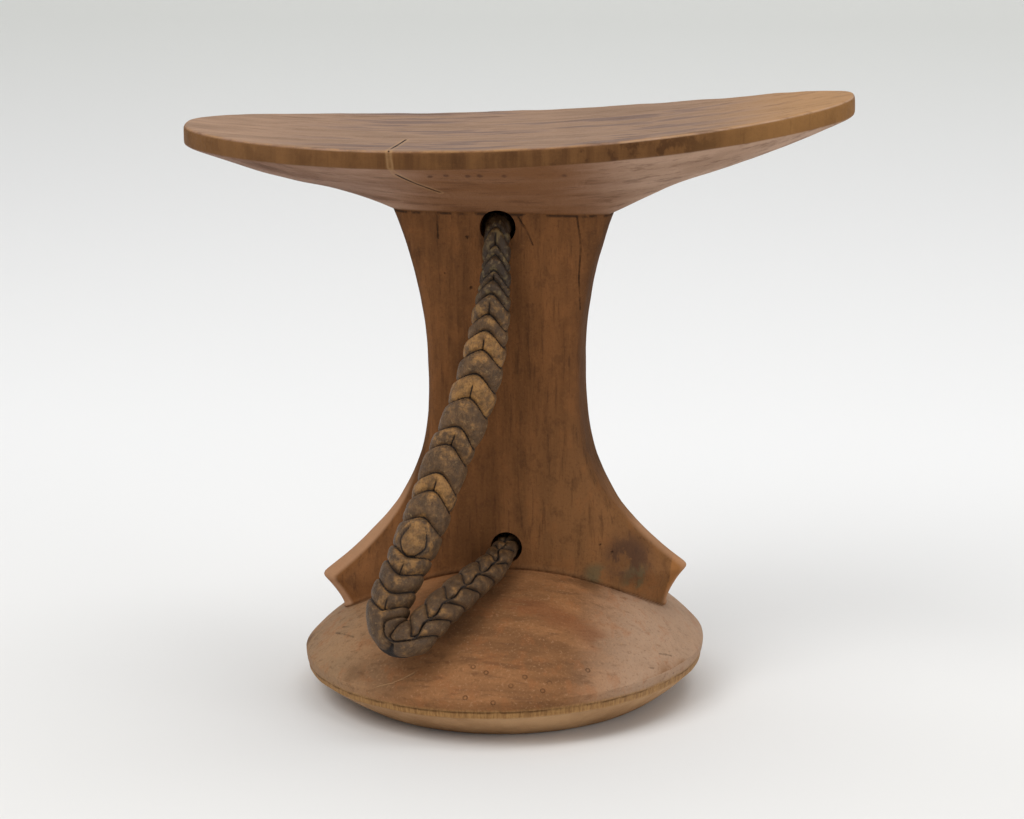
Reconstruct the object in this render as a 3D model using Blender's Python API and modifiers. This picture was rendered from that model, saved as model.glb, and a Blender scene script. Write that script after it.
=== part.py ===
"""Carved wooden headrest with a plaited leather carrying strap.

One block of wood holds the domed foot, the winged column and the dished neck
platform.  The strap is drawn through two bores in the column, knotted behind
each of them, and its free loop hangs down in front and swings like a handle.

Units are metres and +Z is up.  The origin is the centre of the flat face that
the foot stands on, +X runs along the platform and -Y is the strap's side.
"""
import math

import bmesh
import bpy
from mathutils import Matrix, Vector

# Foot: a flat face to stand on, an undercut, a steep rim that is widest above
# its arris, and a domed top.
FOOT_FACE_RADIUS = 0.0415
BAND_RADIUS = 0.0537
BAND_HEIGHT = 0.0086
ARRIS_RADIUS = 0.0541
ARRIS_HEIGHT = 0.0104
RIM_RADIUS = 0.0544
RIM_HEIGHT = 0.0132
DOME_RISE = 0.0242
DOME_POWER = 0.90
UNDERCUT_POWER = 1.2
FOOT_STEPS = 64
DOME_RINGS = 12
UNDERCUT_RINGS = 4

# Column: a flat hourglass whose lower end spreads into two pointed wings.
WAIST_HALF_WIDTH = 0.0205
WAIST_HALF_DEPTH = 0.0116
END_HALF_DEPTH = 0.0125
WAIST_ABOVE_RIM = 0.0757
COLUMN_TOP_ABOVE_RIM = 0.1210
COLUMN_TOP_HALF_WIDTH = 0.0293
WING_TIP_HALF_WIDTH = 0.0500
WING_TIP_ABOVE_RIM = 0.0197
WING_ROOT_HALF_WIDTH = 0.0436
WING_ROOT_ABOVE_RIM = 0.0082
WING_ROOT_DEPTH_IN_DOME = 0.0050
UPPER_FLARE_POWER = 2.1
LOWER_FLARE_POWER = 2.6
WAIST_SQUARENESS = 7.0
WING_SQUARENESS = 2.2
COLUMN_SHIFT = 0.0015
RING_POINTS = 64
WING_RINGS = 4
LOWER_COLUMN_RINGS = 11
UPPER_COLUMN_RINGS = 8

# Platform: a long oval, dished along its length, on a sloping hull.
HEAD_HALF_LENGTH = 0.0892
HEAD_HALF_DEPTH = 0.0310
HEAD_SHIFT = 0.0041
HEAD_ABOVE_COLUMN = 0.0201
HEAD_SQUARENESS = 2.27
END_RISE = 0.0056
ACROSS_DISH = 0.0010
EDGE_BAND = 0.0050
HULL_WAVE = 0.055
HULL_RINGS = 6
EDGE_ROUNDING = 0.0009
EDGE_FULLEST_SHARE = 0.6
TOP_RING_SHARES = (0.85, 0.65, 0.42, 0.20)

# The block leans a little to the left, as it was cut by eye.
RIM_LEAN = math.radians(1.24)
HEAD_LEAN = math.radians(3.06)

# Strap bores through the column, the upper one close under the platform.
UPPER_BORE_DIAMETER = 0.0095
UPPER_BORE_X = 0.0008
UPPER_BORE_BELOW_COLUMN_TOP = 0.0039
LOWER_BORE_DIAMETER = 0.0084
LOWER_BORE_X = 0.0023
LOWER_BORE_ABOVE_DOME = 0.0018

# Strap: its greatest thickness, and what fits to it.
STRAP_DIAMETER = 0.0120
UPPER_TAIL_DIAMETER = 0.0076
LOWER_TAIL_DIAMETER = 0.0074
TOUCH_GAP = 0.0003
PIVOT_STAND_OFF = 0.0005
KNOT_WIDTH = 0.0140
KNOT_THICKNESS = 0.0095
KNOT_HEIGHT = 0.0094
KNOT_FLATTENING = 0.75
KNOT_STUB_DIAMETER = 0.0050
KNOT_STUB_LENGTH = 0.0060

# The loop's route between its two pivots: x, y, z and the share of the full
# girth there.  It falls from the upper bore, folds over in front of the foot
# and comes back up over the dome to the lower bore.
LOOP_ROUTE = [
    (0.0011, -0.0180, 0.1262, 0.62),
    (0.0012, -0.0193, 0.1205, 0.68),
    (0.0005, -0.0205, 0.1122, 0.82),
    (-0.0010, -0.0217, 0.1019, 0.92),
    (-0.0032, -0.0230, 0.0919, 1.00),
    (-0.0071, -0.0253, 0.0799, 1.00),
    (-0.0109, -0.0273, 0.0714, 1.00),
    (-0.0135, -0.0300, 0.0636, 1.00),
    (-0.0168, -0.0338, 0.0542, 1.00),
    (-0.0197, -0.0374, 0.0469, 1.00),
    (-0.0222, -0.0413, 0.0404, 0.96),
    (-0.0237, -0.0445, 0.0353, 0.92),
    (-0.0234, -0.0475, 0.0308, 0.88),
    (-0.0209, -0.0490, 0.0276, 0.84),
    (-0.0170, -0.0483, 0.0278, 0.82),
    (-0.0135, -0.0452, 0.0306, 0.80),
    (-0.0099, -0.0405, 0.0339, 0.80),
    (-0.0065, -0.0350, 0.0364, 0.78),
    (-0.0031, -0.0288, 0.0388, 0.74),
    (0.0001, -0.0223, 0.0405, 0.68),
]
LOOP_STATIONS = 56
CURVE_STEPS = 24
TAIL_STATIONS = 4
TUBE_RESOLUTION = 3
ROUND_END_STEPS = 4
CUTTER_OVERRUN = 0.0100


def clear_scene():
    for item in list(bpy.data.objects):
        bpy.data.objects.remove(item, do_unlink=True)


def make_collection(name):
    collection = bpy.data.collections.new(name)
    bpy.context.scene.collection.children.link(collection)
    return collection


def make_material(name, colour, roughness):
    material = bpy.data.materials.new(name)
    material.use_nodes = True
    shader = material.node_tree.nodes["Principled BSDF"]
    shader.inputs["Base Color"].default_value = (*colour, 1.0)
    shader.inputs["Roughness"].default_value = roughness
    shader.inputs["Metallic"].default_value = 0.0
    return material


def add_object(name, data, collection, material=None):
    item = bpy.data.objects.new(name, data)
    collection.objects.link(item)
    if material is not None:
        data.materials.append(material)
    return item


def mesh_from_bmesh(name, work):
    bmesh.ops.recalc_face_normals(work, faces=work.faces)
    mesh = bpy.data.meshes.new(name)
    work.to_mesh(mesh)
    work.free()
    return mesh


def evaluated_copy(item, collection):
    """A plain mesh object with every modifier of item in its mesh."""
    bpy.context.view_layer.update()
    depsgraph = bpy.context.evaluated_depsgraph_get()
    mesh = bpy.data.meshes.new_from_object(item.evaluated_get(depsgraph), depsgraph=depsgraph)
    copy = add_object(item.name + "_solid", mesh, collection)
    copy.matrix_world = item.matrix_world
    return copy


def boolean(item, cutter, operation):
    modifier = item.modifiers.new(operation.lower() + "_" + cutter.name, "BOOLEAN")
    modifier.operation = operation
    modifier.solver = "EXACT"
    modifier.object = cutter
    cutter.hide_render = True
    cutter.display_type = "WIRE"


def smooth_share(value, low, high):
    share = min(max((value - low) / (high - low), 0.0), 1.0)
    return share * share * (3.0 - 2.0 * share)


def dome_height(radius):
    """Height of the foot's top at a distance from its axis, before the lean."""
    share = max(1.0 - (radius / RIM_RADIUS) ** 2, 0.0)
    return RIM_HEIGHT + DOME_RISE * share ** DOME_POWER


def waist_height():
    return RIM_HEIGHT + WAIST_ABOVE_RIM


def column_top():
    return RIM_HEIGHT + COLUMN_TOP_ABOVE_RIM


def head_height():
    return column_top() + HEAD_ABOVE_COLUMN


def lean_angle(height):
    share = smooth_share(height, RIM_HEIGHT, RIM_HEIGHT + WING_TIP_ABOVE_RIM)
    return RIM_LEAN + (HEAD_LEAN - RIM_LEAN) * share


def leaned(point):
    """The carved shape's lean: a lift that grows with x and fades to none at the foot face."""
    fade = smooth_share(point.z, 0.0, RIM_HEIGHT)
    lift = point.x * math.tan(lean_angle(point.z)) * fade
    return Vector((point.x, point.y, point.z + lift))


def column_half_width(height):
    wing_tip = RIM_HEIGHT + WING_TIP_ABOVE_RIM
    if height >= waist_height():
        share = (height - waist_height()) / (column_top() - waist_height())
        flare = COLUMN_TOP_HALF_WIDTH - WAIST_HALF_WIDTH
        return WAIST_HALF_WIDTH + flare * share ** UPPER_FLARE_POWER
    if height >= wing_tip:
        share = (waist_height() - height) / (waist_height() - wing_tip)
        flare = WING_TIP_HALF_WIDTH - WAIST_HALF_WIDTH
        return WAIST_HALF_WIDTH + flare * share ** LOWER_FLARE_POWER
    share = min((wing_tip - height) / (WING_TIP_ABOVE_RIM - WING_ROOT_ABOVE_RIM), 1.0)
    inset = (WING_TIP_HALF_WIDTH - WING_ROOT_HALF_WIDTH) * (1.0 - (1.0 - share) ** 2)
    return WING_TIP_HALF_WIDTH - inset


def column_half_depth(height):
    reach = (column_top() - waist_height()) if height > waist_height() else WAIST_ABOVE_RIM
    share = min(abs(height - waist_height()) / reach, 1.0)
    return WAIST_HALF_DEPTH + (END_HALF_DEPTH - WAIST_HALF_DEPTH) * share ** 2


def column_shift(height):
    low = RIM_HEIGHT + WING_TIP_ABOVE_RIM
    return COLUMN_SHIFT * smooth_share(height, low, waist_height())


def column_squareness(height):
    low = RIM_HEIGHT + WING_TIP_ABOVE_RIM
    share = smooth_share(height, low, waist_height())
    return WING_SQUARENESS + (WAIST_SQUARENESS - WING_SQUARENESS) * share


def oval_ring(half_width, half_depth, squareness, shift):
    """Points of a superellipse in plan, counter-clockwise seen from above."""
    points = []
    for index in range(RING_POINTS):
        angle = 2.0 * math.pi * index / RING_POINTS
        cosine = math.cos(angle)
        sine = math.sin(angle)
        x = math.copysign(abs(cosine) ** (2.0 / squareness), cosine) * half_width
        y = math.copysign(abs(sine) ** (2.0 / squareness), sine) * half_depth
        points.append(Vector((x + shift, y, 0.0)))
    return points


def even_steps(low, high, count):
    return [low + (high - low) * step / count for step in range(count)]


def column_rings():
    """Sections of the column from inside the dome up to the platform's hull."""
    wing_tip = RIM_HEIGHT + WING_TIP_ABOVE_RIM
    wing_root = RIM_HEIGHT + WING_ROOT_ABOVE_RIM
    heights = [wing_root - WING_ROOT_DEPTH_IN_DOME]
    heights += even_steps(wing_root, wing_tip, WING_RINGS)
    heights += even_steps(wing_tip, waist_height(), LOWER_COLUMN_RINGS)
    heights += even_steps(waist_height(), column_top(), UPPER_COLUMN_RINGS)
    heights.append(column_top())
    rings = []
    for height in heights:
        ring = oval_ring(column_half_width(height), column_half_depth(height),
                         column_squareness(height), column_shift(height))
        rings.append([Vector((point.x, point.y, height)) for point in ring])
    return rings


def head_top(x):
    share = (x - HEAD_SHIFT) / HEAD_HALF_LENGTH
    return head_height() + END_RISE * share ** 2


def head_ring(scale, drop):
    """A ring of the platform at a share of its plan, below its dished top by drop."""
    outline = oval_ring(HEAD_HALF_LENGTH * scale, HEAD_HALF_DEPTH * scale,
                        HEAD_SQUARENESS, HEAD_SHIFT)
    return [Vector((point.x, point.y, head_top(point.x) - drop)) for point in outline]


def hull_ring(neck, arris, share):
    """A ring of the hull, which is hollow beside the neck and full towards the edge."""
    rise = share + HULL_WAVE * math.sin(2.0 * math.pi * share)
    ring = []
    for low, high in zip(neck, arris):
        point = low.lerp(high, share)
        point.z = low.z + (high.z - low.z) * rise
        ring.append(point)
    return ring


def head_rings(neck):
    """Rings from the column's last section out along the hull and in over the top."""
    edge_inset = EDGE_ROUNDING / HEAD_HALF_DEPTH
    lower_arris = head_ring(1.0 - edge_inset, EDGE_BAND)
    rings = []
    for step in range(1, HULL_RINGS):
        rings.append(hull_ring(neck, lower_arris, step / HULL_RINGS))
    rings.append(lower_arris)
    rings.append(head_ring(1.0, EDGE_BAND * EDGE_FULLEST_SHARE))
    rings.append(head_ring(1.0, EDGE_ROUNDING))
    rings.append(head_ring(1.0 - edge_inset, 0.0))
    for share in TOP_RING_SHARES:
        rings.append(head_ring(share, ACROSS_DISH * (1.0 - share ** 2)))
    return rings


def loft(name, rings, last_point):
    """Skin over the rings, with a flat cap below and a fan to last_point above."""
    work = bmesh.new()
    rows = [[work.verts.new(point) for point in ring] for ring in rings]
    count = len(rows[0])
    for lower, upper in zip(rows, rows[1:]):
        for index in range(count):
            following = (index + 1) % count
            work.faces.new((lower[index], lower[following], upper[following], upper[index]))
    work.faces.new(list(reversed(rows[0])))
    tip = work.verts.new(last_point)
    for index in range(count):
        work.faces.new((rows[-1][index], rows[-1][(index + 1) % count], tip))
    return mesh_from_bmesh(name, work)


def column_and_head_mesh():
    rings = column_rings()
    rings += head_rings(rings[-1])
    centre = Vector((HEAD_SHIFT, 0.0, head_top(HEAD_SHIFT) - ACROSS_DISH))
    rings = [[leaned(point) for point in ring] for ring in rings]
    return loft("stand", rings, leaned(centre))


def foot_profile():
    """The foot's section from the top of its dome down and in to its flat face."""
    points = []
    for step in range(DOME_RINGS + 1):
        radius = RIM_RADIUS * math.sin(0.5 * math.pi * step / DOME_RINGS)
        points.append(Vector((radius, 0.0, dome_height(radius))))
    points.append(Vector((ARRIS_RADIUS, 0.0, ARRIS_HEIGHT)))
    for step in range(UNDERCUT_RINGS + 1):
        share = 1.0 - step / UNDERCUT_RINGS
        radius = FOOT_FACE_RADIUS + (BAND_RADIUS - FOOT_FACE_RADIUS) * share
        points.append(Vector((radius, 0.0, BAND_HEIGHT * share ** UNDERCUT_POWER)))
    points.append(Vector((0.0, 0.0, 0.0)))
    return points


def build_foot(collection):
    profile = foot_profile()
    mesh = bpy.data.meshes.new("foot")
    mesh.from_pydata(profile, [(index, index + 1) for index in range(len(profile) - 1)], [])
    turned = add_object("foot", mesh, collection)
    screw = turned.modifiers.new("turn", "SCREW")
    screw.axis = "Z"
    screw.steps = FOOT_STEPS
    screw.render_steps = FOOT_STEPS
    screw.use_merge_vertices = True
    screw.merge_threshold = 0.00001
    solid = evaluated_copy(turned, collection)
    for vertex in solid.data.vertices:
        vertex.co = leaned(vertex.co)
    bpy.data.objects.remove(turned, do_unlink=True)
    return solid


def upper_bore_centre():
    point = Vector((UPPER_BORE_X, 0.0, column_top() - UPPER_BORE_BELOW_COLUMN_TOP))
    return leaned(point)


def lower_bore_centre():
    dome_at_face = dome_height(column_half_depth(RIM_HEIGHT + DOME_RISE))
    height = dome_at_face + LOWER_BORE_ABOVE_DOME + 0.5 * LOWER_BORE_DIAMETER
    return leaned(Vector((LOWER_BORE_X, 0.0, height)))


def build_bore_cutter(name, centre, diameter, collection):
    work = bmesh.new()
    turn = Matrix.Translation(centre) @ Matrix.Rotation(0.5 * math.pi, 4, "X")
    bmesh.ops.create_cone(work, cap_ends=True, segments=32, radius1=0.5 * diameter,
                          radius2=0.5 * diameter, depth=2.0 * (HEAD_HALF_DEPTH + CUTTER_OVERRUN),
                          matrix=turn)
    return add_object(name, mesh_from_bmesh(name, work), collection)


def build_stand(parts, cutters, wood):
    stand = add_object("stand", column_and_head_mesh(), parts, wood)
    boolean(stand, build_foot(cutters), "UNION")
    upper = build_bore_cutter("upper_bore", upper_bore_centre(), UPPER_BORE_DIAMETER, cutters)
    lower = build_bore_cutter("lower_bore", lower_bore_centre(), LOWER_BORE_DIAMETER, cutters)
    boolean(stand, upper, "DIFFERENCE")
    boolean(stand, lower, "DIFFERENCE")
    return stand


def mouth_depth(centre):
    """How far the column's flat faces stand from the middle plane at a bore."""
    return column_half_depth(centre.z)


def pivot_point(centre, girth):
    """Where the loop turns: just clear of the bore's mouth on the front face."""
    stand_off = mouth_depth(centre) + PIVOT_STAND_OFF + 0.5 * STRAP_DIAMETER * girth
    return Vector((centre.x, -stand_off, centre.z))


def smooth_route(points, stations):
    """Evenly spaced values read from a Catmull-Rom curve through the points."""
    ends = [points[0] * 2.0 - points[1]] + points + [points[-1] * 2.0 - points[-2]]
    fine = []
    for index in range(1, len(ends) - 2):
        before, here, there, after = ends[index - 1:index + 3]
        for step in range(CURVE_STEPS):
            t = step / CURVE_STEPS
            fine.append(0.5 * ((2.0 * here) + (there - before) * t
                               + (2.0 * before - 5.0 * here + 4.0 * there - after) * t ** 2
                               + (3.0 * here - before - 3.0 * there + after) * t ** 3))
    fine.append(points[-1])
    travelled = [0.0]
    for start, stop in zip(fine, fine[1:]):
        travelled.append(travelled[-1] + (stop - start).xyz.length)
    result = []
    position = 0
    for station in range(stations):
        target = travelled[-1] * station / (stations - 1)
        while position < len(fine) - 2 and travelled[position + 1] < target:
            position += 1
        span = travelled[position + 1] - travelled[position]
        share = (target - travelled[position]) / span
        result.append(fine[position].lerp(fine[position + 1], share))
    return result


def build_tube(name, points, radii, collection, material):
    """A round-sided tube whose points each have their own radius."""
    curve = bpy.data.curves.new(name, "CURVE")
    curve.dimensions = "3D"
    curve.bevel_depth = 1.0
    curve.bevel_resolution = TUBE_RESOLUTION
    curve.use_fill_caps = True
    spline = curve.splines.new("POLY")
    spline.points.add(len(points) - 1)
    for place, point, radius in zip(spline.points, points, radii):
        place.co = (point.x, point.y, point.z, 1.0)
        place.radius = radius
    return add_object(name, curve, collection, material)


def build_loop(parts, leather):
    """The free loop, a tapering tube whose round ends turn at the bore mouths."""
    route = [Vector((x, y, z, girth)) for x, y, z, girth in LOOP_ROUTE]
    start_girth = route[0][3]
    end_girth = route[-1][3]
    start = pivot_point(upper_bore_centre(), start_girth)
    end = pivot_point(lower_bore_centre(), end_girth)
    route.insert(0, Vector((*start, start_girth)))
    route.append(Vector((*end, end_girth)))
    stations = smooth_route(route, LOOP_STATIONS)
    points = [station.xyz for station in stations]
    radii = [0.5 * STRAP_DIAMETER * station[3] for station in stations]
    points, radii = add_round_end(points, radii)
    points.reverse()
    radii.reverse()
    points, radii = add_round_end(points, radii)
    tube = build_tube("strap_loop", [point - start for point in points], radii, parts, leather)
    tube.location = start


def add_round_end(points, radii):
    """Put a half ball before the first station, made of a few narrowing rings."""
    radius = radii[0]
    outward = (points[0] - points[1]).normalized()
    cap_points = []
    cap_radii = []
    for step in range(ROUND_END_STEPS):
        angle = 0.5 * math.pi * (step + 0.5) / (ROUND_END_STEPS + 0.5)
        cap_points.append(points[0] + outward * radius * math.cos(angle))
        cap_radii.append(radius * math.sin(angle))
    return cap_points + points, cap_radii + radii


def build_tail(name, centre, diameter, parts, leather):
    """The stretch of strap that lies in a bore, from mouth to mouth."""
    reach = mouth_depth(centre)
    points = []
    for step in range(TAIL_STATIONS):
        y = -reach + 2.0 * reach * step / (TAIL_STATIONS - 1)
        points.append(Vector((centre.x, y, centre.z)))
    radii = [0.5 * diameter] * TAIL_STATIONS
    build_tube(name, points, radii, parts, leather)


def build_knot(name, centre, parts, leather):
    """A stopper knot behind a bore: a ball flattened where it bears on the column."""
    seat = mouth_depth(centre) + TOUCH_GAP
    work = bmesh.new()
    bmesh.ops.create_uvsphere(work, u_segments=20, v_segments=12, radius=0.5)
    bmesh.ops.scale(work, vec=(KNOT_WIDTH, KNOT_THICKNESS, KNOT_HEIGHT), verts=work.verts)
    flat = -0.5 * KNOT_THICKNESS * KNOT_FLATTENING
    cut = bmesh.ops.bisect_plane(work, geom=work.verts[:] + work.edges[:] + work.faces[:],
                                 plane_co=(0.0, flat, 0.0), plane_no=(0.0, -1.0, 0.0),
                                 clear_outer=True)
    rim = [edge for edge in cut["geom_cut"] if isinstance(edge, bmesh.types.BMEdge)]
    bmesh.ops.holes_fill(work, edges=rim, sides=0)
    bmesh.ops.translate(work, vec=(centre.x, seat - flat, centre.z), verts=work.verts)
    knot = add_object(name, mesh_from_bmesh(name, work), parts, leather)
    return knot


def build_stub(name, centre, direction, cutters):
    """The strap's cut end, which stands out of its knot to one side."""
    seat = mouth_depth(centre) + TOUCH_GAP + 0.5 * KNOT_THICKNESS
    reach = 0.5 * KNOT_WIDTH + KNOT_STUB_LENGTH
    turn = direction.to_track_quat("Z", "Y").to_matrix().to_4x4()
    place = Matrix.Translation(Vector((centre.x, seat, centre.z)) + direction * 0.5 * reach)
    work = bmesh.new()
    bmesh.ops.create_cone(work, cap_ends=True, segments=12, radius1=0.5 * KNOT_STUB_DIAMETER,
                          radius2=0.4 * KNOT_STUB_DIAMETER, depth=reach, matrix=place @ turn)
    return add_object(name, mesh_from_bmesh(name, work), cutters)


def shade_round(item, angle):
    item.data.shade_smooth()
    item.data.set_sharp_from_angle(angle=angle)


def main():
    clear_scene()
    parts = make_collection("headrest")
    cutters = make_collection("cutters")
    wood = make_material("waxed_wood", (0.16, 0.066, 0.026), 0.42)
    loop_leather = make_material("plaited_leather", (0.10, 0.060, 0.028), 0.55)
    tail_leather = make_material("tail_leather", (0.055, 0.032, 0.017), 0.6)
    knot_leather = make_material("knot_leather", (0.075, 0.045, 0.022), 0.6)
    stand = build_stand(parts, cutters, wood)
    shade_round(stand, math.radians(40))
    build_loop(parts, loop_leather)
    bores = {
        "upper": (upper_bore_centre(), UPPER_TAIL_DIAMETER, Vector((0.7, 0.1, -0.7))),
        "lower": (lower_bore_centre(), LOWER_TAIL_DIAMETER, Vector((-0.8, 0.3, 0.5))),
    }
    for place, (centre, diameter, stub_side) in bores.items():
        build_tail(place + "_tail", centre, diameter, parts, tail_leather)
        knot = build_knot(place + "_knot", centre, parts, knot_leather)
        stub = build_stub(place + "_stub", centre, stub_side.normalized(), cutters)
        boolean(knot, stub, "UNION")
        shade_round(knot, math.radians(40))


main()
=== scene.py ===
"""Carved headrest: the look of the waxed wood and of the plaited leather strap.

Units are metres, in the frame of the CAD model: +Z is up, +X runs along the
platform and -Y is the side that the strap hangs on.
"""
import math
from types import SimpleNamespace

import bmesh
import bpy
import numpy as np
from mathutils import Matrix, Vector, noise


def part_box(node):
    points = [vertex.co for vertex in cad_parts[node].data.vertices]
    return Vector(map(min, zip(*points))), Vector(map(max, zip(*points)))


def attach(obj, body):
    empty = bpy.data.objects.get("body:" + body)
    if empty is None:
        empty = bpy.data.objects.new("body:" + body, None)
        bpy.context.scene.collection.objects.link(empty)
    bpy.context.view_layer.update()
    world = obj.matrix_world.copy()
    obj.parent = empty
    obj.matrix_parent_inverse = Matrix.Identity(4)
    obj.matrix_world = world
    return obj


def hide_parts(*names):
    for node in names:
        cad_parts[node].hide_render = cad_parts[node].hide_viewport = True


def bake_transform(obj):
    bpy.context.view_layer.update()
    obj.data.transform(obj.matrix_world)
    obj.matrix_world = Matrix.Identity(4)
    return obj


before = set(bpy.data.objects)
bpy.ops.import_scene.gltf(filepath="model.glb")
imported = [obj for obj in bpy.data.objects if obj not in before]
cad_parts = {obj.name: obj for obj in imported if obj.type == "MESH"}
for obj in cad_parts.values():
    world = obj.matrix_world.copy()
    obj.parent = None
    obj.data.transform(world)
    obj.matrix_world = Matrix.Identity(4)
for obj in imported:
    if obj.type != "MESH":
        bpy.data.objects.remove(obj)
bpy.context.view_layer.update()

bl_info = {
    "name": "Carved headrest",
    "version": (1, 0, 0),
    "blender": (4, 5, 0),
    "location": "View3D > Sidebar > Headrest",
    "description": "Finishes a carved headrest with its plaited strap",
    "category": "Object",
}


def tone(red, green, blue):
    """A colour given as it is seen on a display, 0 to 255, for a shader."""
    shares = [value / 255.0 for value in (red, green, blue)]
    return tuple(v / 12.92 if v <= 0.04045 else ((v + 0.055) / 1.055) ** 2.4 for v in shares)


def shade(colour, amount):
    """The colour made lighter or darker by a factor."""
    return tuple(min(amount * value, 1.0) for value in colour)


# ==== Sizes that the carved block is made from ====
FOOT_FACE_RADIUS = 0.0415
UNDERCUT_POWER = 1.2
BAND_RADIUS = 0.0537
BAND_HEIGHT = 0.0086
ARRIS_RADIUS = 0.0541
ARRIS_HEIGHT = 0.0104
RIM_RADIUS = 0.0544
RIM_HEIGHT = 0.0132
DOME_RISE = 0.0242
DOME_POWER = 0.90

WAIST_HEIGHT = 0.0889
WAIST_HALF_WIDTH = 0.0205
WAIST_HALF_DEPTH = 0.0116
WAIST_SHIFT = 0.0015
END_HALF_DEPTH = 0.0125
COLUMN_TOP = 0.1342
COLUMN_TOP_HALF_WIDTH = 0.0293
NECK_FLARE = 2.1
WING_FLARE = 2.6
UNDERSIDE_CURVE = 1.7
WING_TIP_HEIGHT = 0.0329
WING_TIP_HALF_WIDTH = 0.0500
WING_ROOT_HEIGHT = 0.0214
WING_ROOT_HALF_WIDTH = 0.0436
TIP_ROUNDING = 0.0007
LOWER_REACH = 0.0757
BLOCK_SIDES = 200
LIP = 0.00045
LIP_HEIGHT = 0.0006

HEAD_HALF_LENGTH = 0.0892
HEAD_HALF_DEPTH = 0.0310
HEAD_SHIFT = 0.0041
HEAD_HEIGHT = 0.1543
HEAD_SQUARENESS = 2.27
END_RISE = 0.0056
ACROSS_DISH = 0.0010
EDGE_BAND = 0.0050
HULL_WAVE = 0.055

# The block leans to one side, more so the higher it is, but its neck is level.
RIM_LEAN = math.radians(1.24)
HEAD_LEAN = math.radians(3.06)
NECK_LEAN = math.radians(-0.4)

# Bores from front to back: x, z and diameter.
UPPER_BORE = (0.0008, 0.13034, 0.0095)
LOWER_BORE = (0.0023, 0.04246, 0.0084)
SHARP_ANGLE = 38.0

# The strap's route: x, y, z and the share of the full girth there.  It comes
# out of the upper bore, falls, folds in front of the foot and goes back up
# over the dome into the lower bore.
STRAP_ROUTE = [
    (0.0008, 0.0128, 0.1303, 0.74),
    (0.0006, 0.0060, 0.1302, 0.72),
    (0.0004, -0.0070, 0.1299, 0.61),
    (0.0009, -0.0125, 0.1296, 0.62),
    (0.0011, -0.0165, 0.1262, 0.64),
    (0.0012, -0.0189, 0.1205, 0.70),
    (0.0005, -0.0205, 0.1122, 0.82),
    (-0.0010, -0.0217, 0.1019, 0.92),
    (-0.0032, -0.0230, 0.0919, 1.00),
    (-0.0071, -0.0253, 0.0799, 1.00),
    (-0.0109, -0.0273, 0.0714, 1.00),
    (-0.0135, -0.0300, 0.0636, 1.00),
    (-0.0168, -0.0338, 0.0542, 1.00),
    (-0.0197, -0.0374, 0.0469, 1.00),
    (-0.0226, -0.0413, 0.0404, 0.98),
    (-0.0245, -0.0445, 0.0351, 0.97),
    (-0.0243, -0.0475, 0.0304, 0.93),
    (-0.0213, -0.0490, 0.0274, 0.88),
    (-0.0172, -0.0483, 0.0284, 0.84),
    (-0.0137, -0.0452, 0.0316, 0.83),
    (-0.0101, -0.0405, 0.0348, 0.82),
    (-0.0066, -0.0350, 0.0370, 0.79),
    (-0.0031, -0.0288, 0.0390, 0.75),
    (0.0000, -0.0223, 0.0403, 0.68),
    (0.0012, -0.0165, 0.0417, 0.62),
    (0.0019, -0.0105, 0.0420, 0.59),
    (0.0022, 0.0040, 0.0423, 0.64),
    (0.0023, 0.0124, 0.0424, 0.65),
]
# The point of the route that places down the strap are measured from.
ZERO_POINT = 5
# Where the plait's bands begin, in millimetres down the strap, and how golden
# each is worn.  A band more golden than the one above it is creased down its
# middle.
BANDS = [
    (-28.0, 0.0), (-24.5, 0.2), (-21.0, 0.0), (-17.5, 0.2), (-14.0, 0.0), (-10.4, 0.3),
    (-5.8, 0.25), (-3.4, 0.0), (0.4, 0.45), (2.7, 0.05), (6.2, 0.55), (11.5, 0.10),
    (15.7, 0.95), (21.0, 0.15), (27.6, 1.0), (34.4, 0.12), (42.6, 0.40), (48.0, 0.05),
    (56.3, 0.90), (61.3, 0.10), (68.9, 0.35), (80.4, 0.50), (85.8, 0.10), (91.0, 0.35),
    (96.0, 0.05), (100.8, 0.10), (106.0, 0.10), (111.5, 0.15), (117.5, 0.12), (124.5, 0.18),
    (131.5, 0.22), (138.5, 0.30), (145.5, 0.30), (151.0, 0.2), (156.0, 0.2), (161.0, 0.2),
    (166.0, 0.2), (171.0, 0.2), (176.0, 0.2), (181.0, 0.2),
]
# The tongue where the plait turns over, and where its lobes part into two rows.
TONGUE_PLACE = 0.0750
TONGUE_LENGTH = 0.0054
TONGUE_WIDTH = 0.0035
TWO_ROWS = (0.095, 0.103)
ROW_PITCH = 0.0068
ROW_STAGGER = 0.0034
STRAP_FACING = (-0.04, -0.97, 0.25)
STRAP_STEP = 0.00034
STRAP_SIDES = 96
KNOT_BEHIND = 0.0047
STRAND_PITCH = 0.0034


# ==== What a user would change ====
class HeadrestSizes(bpy.types.PropertyGroup):
    """Sizes of the details"""

    strap_girth: bpy.props.FloatProperty(
        name="Strap girth", description="Full thickness of the plaited strap",
        default=0.0124, min=0.006, max=0.014, unit="LENGTH", precision=4)
    lobe_bulge: bpy.props.FloatProperty(
        name="Lobe bulge", description="How far the plait's lobes stand out of their grooves",
        default=0.0016, min=0.0, max=0.002, unit="LENGTH", precision=5)
    chevron: bpy.props.FloatProperty(
        name="Chevron", description="How far a band's sides lie below its middle",
        default=0.0040, min=0.0, max=0.008, unit="LENGTH", precision=4)
    carving_waver: bpy.props.FloatProperty(
        name="Carving waver", description="Unevenness that the adze and scraper left in the wood",
        default=0.00022, min=0.0, max=0.001, unit="LENGTH", precision=5)
    knot_strand: bpy.props.FloatProperty(
        name="Knot strand", description="Thickness of the strand that the knots are tied from",
        default=0.0050, min=0.003, max=0.007, unit="LENGTH", precision=4)


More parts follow.
